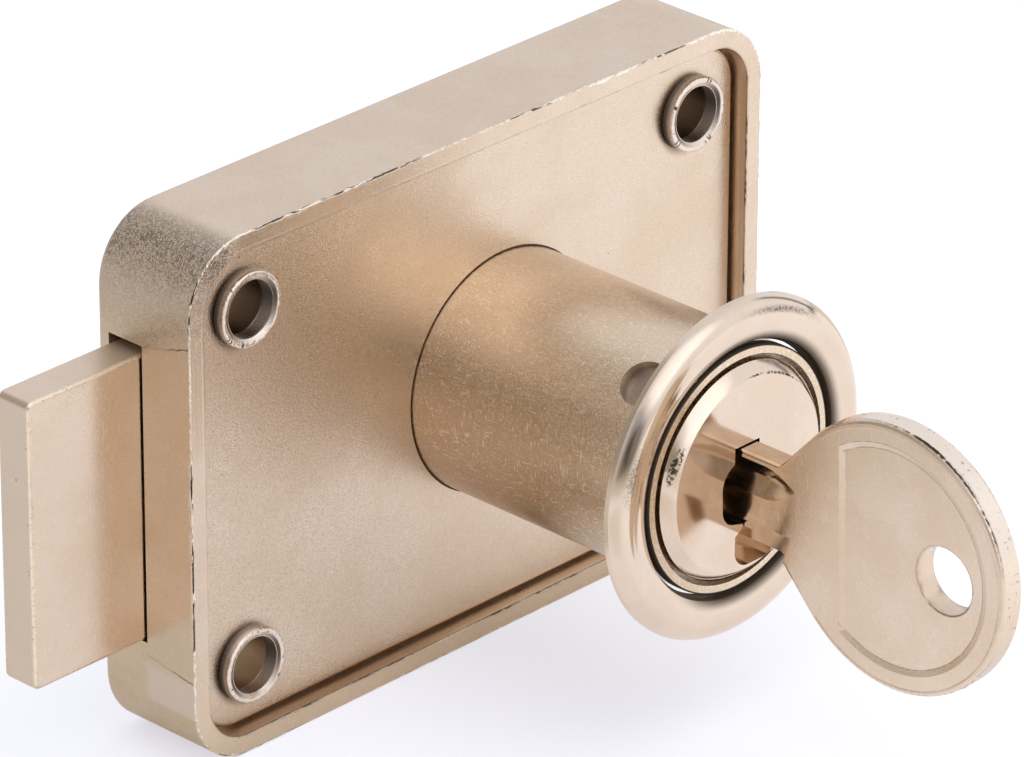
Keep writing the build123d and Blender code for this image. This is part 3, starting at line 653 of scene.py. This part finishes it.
made = plated("satin_plate", 0.26, contrast=0.34, depth=0.007, cloud_scale=120.0, specks=0.006)
tree = made["tree"]
scratch(made, 900.0, 0.2, 0.002, 0.12)
x, y, z = split(made)
to_left = fade_mm(tree, x, -22, 2, 1.0, 0.25)
pressed = noise(tree, made["place"], 10500.0, 1.0, 0.6)
lift(made, calc(tree, "MULTIPLY", pressed, to_left), 0.024)
tint(made, calc(tree, "MULTIPLY", fade(tree, pressed, 0.36, 0.5, 0.3, 0.0), to_left), (0.3, 0.22, 0.15))
# Painted shade round each post, heaviest on its left side
post_x, from_post = post_offset(tree, x, z)
post_shade = calc(tree, "MULTIPLY", fade_mm(tree, from_post, 2.72, 3.5, 0.85, 0.0),
            fade_mm(tree, post_x, -2.4, 1.5, 1.0, 0.15))
tint(made, post_shade, (0.16, 0.11, 0.07))
nodes["cover_plate"].data.materials[0] = finish_metal(made)

# Barrel: turned and plated, a little yellower than the case, and covered in fine curled hairs. Painted shade
# darkens it below on the left, in its two slots and inside the rosette's mouth.
barrel_bore_radius, slot_floor_radius, counterbore_floor_y = 6.55, 8.2, -19.85
made = plated("satin_barrel", 0.22, (0.735, 0.575, 0.41), (0.68, 0.515, 0.35), contrast=0.2, depth=0.005,
              cloud_scale=90.0, spread=0.03, specks=0.006)
tree = made["tree"]
scratch(made, 1250.0, 0.5, 0.005, 0.4)
lift(made, noise(tree, made["place"], 12000.0, 1.0, 0.6), 0.011)
x, y, z = split(made)
shade_below_left = calc(tree, "ADD", towards(tree, (-0.8, 0, -0.6), made["place"]),
                  calc(tree, "MULTIPLY", calc(tree, "ADD", y, 10 * mm), 0.3))
tint(made, fade_mm(tree, shade_below_left, 0, 10, 0.0, 0.6), (0.42, 0.285, 0.18))
scratch(made, 900.0, 0.12, 0.004, 0.55)
radius = length(tree, x, z)
slot_shade = product(
    tree, fade_mm(tree, radius, slot_floor_radius, barrel_radius - 0.06, 1.0, 0.0),
    fade_mm(tree, radius, barrel_bore_radius + 0.05, barrel_bore_radius + 0.15),
    fade_mm(tree, y, counterbore_floor_y - 0.15, counterbore_floor_y - 0.05, 0.0, 0.8),
)
tint(made, slot_shade, (0.3, 0.25, 0.22))
rosette_mouth_shade = calc(tree, "MULTIPLY", fade_mm(tree, y, -20.3, -20.15, 0.97, 0.0),
                  fade_mm(tree, radius, barrel_radius - 0.16, barrel_radius - 0.1))
soil_and_shade(made, rosette_mouth_shade, dirt_and_shade)
nodes["barrel"].data.materials[0] = finish_metal(made)

# Plug: plated and polished bright on its head, with a few dark marks on the chamfer. It turns in the barrel
# and is held by a clip behind the driver. Its wafers are stamped brass, and its springs and small parts
# steel.
made = plated("polished_plug", 0.1, (0.745, 0.61, 0.49), (0.71, 0.565, 0.44), contrast=0.14, depth=0.0012,
              spread=0.03, specks=0.004)
tree = made["tree"]


def polar(tree, across, upward, centre_across=0.0, centre_upward=0.0):
    """Radius, and angle from the first axis towards the second, about a centre in mm."""
    across = calc(tree, "SUBTRACT", across, centre_across * mm)
    upward = calc(tree, "SUBTRACT", upward, centre_upward * mm)
    return length(tree, across, upward), calc(tree, "ARCTAN2", upward, across)


x, y, z = split(made)
radius, angle = polar(tree, x, z)
slanting = calc(tree, "MULTIPLY_ADD", calc(tree, "SUBTRACT", angle, radians(156)), -0.45 * mm, radius)
left_marks = calc(tree, "MULTIPLY", sector(tree, angle, 157, 15), ridge(tree, slanting, 7.56 * mm, 0.34 * mm))
top_marks = calc(tree, "MULTIPLY", sector(tree, angle, 66, 34), ridge(tree, radius, 7.24 * mm, 0.11 * mm))
chamfer_marks = product(tree, fade(tree, noise(tree, made["place"], 4300.0, 3.0, 0.7), 0.45, 0.52),
               fade(tree, calc(tree, "MAXIMUM", left_marks, top_marks), 0.1, 0.35),
               calc(tree, "LESS_THAN", y, -20.0 * mm))
tint(made, chamfer_marks, (0.1, 0.07, 0.045))
nodes["plug"].data.materials[0] = finish_metal(made)
stamped_brass = finish_metal(plated("stamped_brass", 0.3, (0.75, 0.6, 0.32), (0.7, 0.54, 0.28)))
zinc_steel = finish_metal(plated("zinc_steel", 0.34, (0.55, 0.55, 0.53), (0.5, 0.49, 0.46)))
for name in ("driver", "drive_pin", "retaining_clip"):
    nodes[name].data.materials[0] = zinc_steel
for number in range(1, 7):
    nodes[f"wafer_{number}"].data.materials[0] = stamped_brass
    nodes[f"wafer_spring_{number}"].data.materials[0] = zinc_steel

# Bolt: a thick steel plate in satin nickel, rubbed pale along its edges, with fine pits. It slides between
# rails in the case, and its tip stands out of the left wall.
bolt_tip_x, bolt_half_height = -41.5, 10.8
bolt_front_y, bolt_back_y = 4.75, 7.75
made = plated("satin_bolt", 0.17, specks=0.01)
tree = made["tree"]


def second_smallest(tree, first, second, third):
    """The middle one of three distances: how far a point on a box's face is from its nearest edge."""
    pairs = [calc(tree, "MAXIMUM", *pair) for pair in ((first, second), (second, third), (first, third))]
    return calc(tree, "MINIMUM", calc(tree, "MINIMUM", *pairs[:2]), pairs[2])


scratch(made, 1000.0, 0.25, 0.002, 0.12)
x, y, z = split(made)
to_top = calc(tree, "SUBTRACT", bolt_half_height * mm, calc(tree, "ABSOLUTE", z))
to_face = calc(tree, "MINIMUM", calc(tree, "SUBTRACT", y, bolt_front_y * mm),
               calc(tree, "SUBTRACT", bolt_back_y * mm, y))
to_end = calc(tree, "SUBTRACT", x, bolt_tip_x * mm)
wander = calc(tree, "SUBTRACT", noise(tree, made["place"], 1800.0, 3.0, 0.65), 0.5)
to_edge = calc(tree, "ADD", second_smallest(tree, to_top, to_face, to_end),
               calc(tree, "MULTIPLY", wander, 0.5 * mm))
tint(made, fade_mm(tree, to_edge, 0.1, 0.3, 0.7, 0.0), (0.9, 0.74, 0.52))
# The end face is painted lighter and cooler, a painted reflection
tint(made, fade_mm(tree, to_end, 0.05, 0.15, 0.5, 0.0), (0.79, 0.68, 0.6))
duller = calc(tree, "MULTIPLY", fade_mm(tree, z, bolt_half_height - 0.3, bolt_half_height - 0.1),
              fade_mm(tree, x, -37, -31.5, 0.12, 0.4))
made["rough"] = calc(tree, "ADD", made["rough"], duller)
pit = calc(tree, "MULTIPLY", fade(tree, noise(tree, made["place"], 3600.0, 3.0, 0.7), 0.62, 0.7),
           fade_mm(tree, to_edge, 0.2, 0.6, 0.7, 0.05))
tint(made, pit, (0.22, 0.16, 0.11))
lift(made, pit, -0.02)
nodes["bolt"].data.materials[0] = finish_metal(made)

# Rosette: a loose domed ring round the barrel's front, pressed from sheet and polished. Its mouth is darkened
# with painted shade, and painted dark reflections lie on its left side.
made = plated("polished_rosette", 0.11, (0.735, 0.605, 0.485), (0.705, 0.565, 0.44), contrast=0.1,
              depth=0.001, spread=0.04, specks=0.004)
tree = made["tree"]
x, y, z = split(made)
radius, angle = polar(tree, calc(tree, "MULTIPLY", x, -1.0), z)
shaded_side = calc(tree, "MULTIPLY", fade_mm(tree, x, -7.5, -1.0),
                   fade_mm(tree, radius, 9.3, 10.25, 0.97, 0.0))
mouth_shade = calc(tree, "MAXIMUM", fade_mm(tree, radius, 9.42, 9.52, 0.8, 0.0), shaded_side)
soil_and_shade(made, mouth_shade, (0.05, 0.03, 0.017))
stipple = fade(tree, noise(tree, made["place"], 5000.0, 3.0, 0.7), 0.36, 0.6, 0.25, 1.0)
# Each painted dark reflection: its middle angle and half width, from the left upwards in degrees, its middle
# radius and half width in mm, and its strength, broken up by the stipple on all but the first
dark_reflection = 0.0
for middle, half_angle, reflection_radius, half_width, strength in (
    (28, 20, 12.05, 0.5, 1.15),
    (18, 16, 11.5, 0.8, calc(tree, "MULTIPLY", stipple, 0.75)),
    (110, 26, 11.6, 0.36, stipple),
    (126, 4, 11.9, 0.5, stipple),
):
    dark_reflection = calc(tree, "MAXIMUM", dark_reflection, product(
        tree, sector(tree, angle, middle, half_angle),
        ridge(tree, radius, reflection_radius * mm, half_width * mm), strength))
tint(made, calc(tree, "MINIMUM", dark_reflection, 0.88), (0.12, 0.09, 0.07))
nodes["rosette"].data.materials[0] = finish_metal(made)

# Key: stamped from sheet and plated. Its faces are tumbled smooth, and its sheared edge is left rough and
# pale, with a dark crack where the shear meets the rolled face.
bow_radius, bow_centre_y, bow_centre_z = 9.8, -35.75, -1.15
bow_hole_radius, bow_hole_y = 2.45, -40.3
half_thickness, face_roll = 1.0, 0.3
panel_foot, panel_top = 7.9, 8.35
made = plated("tumbled_key", 0.24, contrast=0.14, depth=0.003, specks=0.004)
tree = made["tree"]
scratch(made, 800.0, 0.2, 0.0015, 0.12)
x, y, z = split(made)
near_face = calc(tree, "GREATER_THAN", calc(tree, "ABSOLUTE", x), 0.8 * mm)
from_hole, hole_angle = polar(tree, y, z, bow_hole_y, bow_centre_z)
broken = fade(tree, noise(tree, made["place"], 900.0, 3.0, 0.6), 0.36, 0.5, 0.25, 1.0)
low_side = fade(tree, calc(tree, "SINE", calc(tree, "ADD", hole_angle, 0.5)), -1.0, 0.2, 1.0, 0.3)
hole_edge = product(tree, ridge(tree, from_hole, (bow_hole_radius + 0.02) * mm, 0.15 * mm), broken, low_side,
                    near_face)
tint(made, calc(tree, "MULTIPLY", hole_edge, 0.9), (0.1, 0.07, 0.045))
from_bow, bow_angle = polar(tree, y, z, bow_centre_y, bow_centre_z)
on_arc = calc(tree, "LESS_THAN", calc(tree, "COSINE", bow_angle), 0.58)
# Thin dark lines of painted shade along the panel's foot, and along its brim on the top
shaded_foot = product(tree, ridge(tree, from_bow, panel_foot * mm, 0.07 * mm), on_arc, broken, near_face)
shaded_brim = product(tree, ridge(tree, from_bow, panel_top * mm, 0.07 * mm), on_arc, broken, near_face,
               sector(tree, bow_angle, 75, 40))
tint(made, calc(tree, "MULTIPLY", calc(tree, "MAXIMUM", shaded_foot, shaded_brim), 0.65), (0.25, 0.18, 0.13))
neck_share = calc(tree, "MULTIPLY", fade_mm(tree, y, -27.6, -26.0),
                  fade(tree, noise(tree, made["place"], 900.0, 4.0, 0.65), 0.4, 0.62, 0.05, 0.3))
tint(made, neck_share, (0.42, 0.28, 0.18))
made["rough"] = calc(tree, "ADD", made["rough"], fade_mm(tree, y, -27.4, -26.2, 0.0, -0.12))
apply_marks(made)
tumbled_key = finish_metal(made)
nodes["key"].data.materials[0] = tumbled_key

# The bow's edge, over the shear and both rolled faces. The shear's marks run across it, and a ragged lip
# stands along the face on the camera's side. Its upper half is paler, partly wear and partly a painted
# highlight, and painted shade darkens its lower side and the crease along the face.
bow_rows, bow_columns = 60, 860
bow_from, bow_to = 43, 317
skin = 0.003
roll_start, roll_radius = half_thickness - face_roll, face_roll + skin
quarter = np.linspace(0, pi / 2, 7)
bow_line = soft_line(
    [(bow_radius - 0.6, -half_thickness + 0.02), (bow_radius - 0.56, -half_thickness - skin)]
    + [(bow_radius - face_roll + roll_radius * sin(a), -roll_start - roll_radius * cos(a)) for a in quarter]
    + [(bow_radius - face_roll + roll_radius * cos(a), roll_start + roll_radius * sin(a)) for a in quarter]
    + [(bow_radius - 0.36, half_thickness + skin), (bow_radius - 0.42, half_thickness - 0.02)],
    bow_rows
)
angle = np.linspace(bow_from, bow_to, bow_columns)
turn = np.radians(angle)
shear = ragged(bow_rows, bow_columns, 5.0, 1.0, 51)
fine = ragged(bow_rows, bow_columns, 1.0, 1.6, 52)
slow = ragged(1, bow_columns, 1, 16, 53)[0]
out, side = bow_line[0][:, None], bow_line[1][:, None]
on_wall = step_up(out, bow_radius - 0.05, 0.06)
lip_place = hump(side, 0.07 - roll_start, 0.07) * on_wall
at_end = np.clip(1 - np.minimum(turn - turn[0], turn[-1] - turn) / radians(3), 0, 1)
clear_of_box = 1 - hump(angle, 180, 22)
height = clear_of_box * (0.004 * on_wall * np.clip(shear + fine + 1.0, 0, 3)
                         + lip_place * np.clip(0.03 + 0.02 * slow + 0.01 * fine, 0, 0.08)) - 0.02 * at_end
crack_reach = hump(angle, 112, 24) + 0.35 * hump(angle, 150, 16)
crack_place = hump(side, -roll_start - 0.05, 0.08) * (out > bow_radius - 0.2)
shaded_crease = hump(out, bow_radius - 0.4, 0.03) * (side < 0)
grime_and_shade = np.clip(crack_place * crack_reach * (1.7 + 0.5 * slow + 0.5 * fine), 0, 1)
grime_and_shade = np.maximum(grime_and_shade, shaded_crease * np.clip(0.3 - 0.3 * np.sin(turn) + 0.12 * slow, 0.12, 0.6))
grime_and_shade = np.maximum(grime_and_shade, on_wall * 0.5 * np.clip(-fine - shear - 2.4, 0, 1))
grime_and_shade = np.maximum(grime_and_shade, 0.3 * step_up(out, bow_radius - 0.3, 0.2) * step_up(angle, 215, 40))
across, side_x = raised(bow_line, -height)
grid = np.stack([side_x, bow_centre_y + across * np.cos(turn), bow_centre_z + across * np.sin(turn)], -1)
surface("bow_edge", grid, "key", tumbled_key,
        {"rubbed_and_highlight": on_wall * step_up(165, angle, 50) * 0.7, "grime_and_shade": grime_and_shade}, closed=False)

# Barrelling breaks the sharp edges of the key, the plug and the bolt a little
edge_break, sharp_from = 0.05, 30
for name in ("key", "plug", "bolt"):
    weld = nodes[name].modifiers.new("weld", "WELD")
    weld.merge_threshold = 0.001 * mm
    bevel = nodes[name].modifiers.new("bevel", "BEVEL")
    bevel.width = edge_break * mm
    bevel.segments = 2
    bevel.limit_method = "ANGLE"
    bevel.angle_limit = radians(sharp_from)
    bevel.harden_normals = True
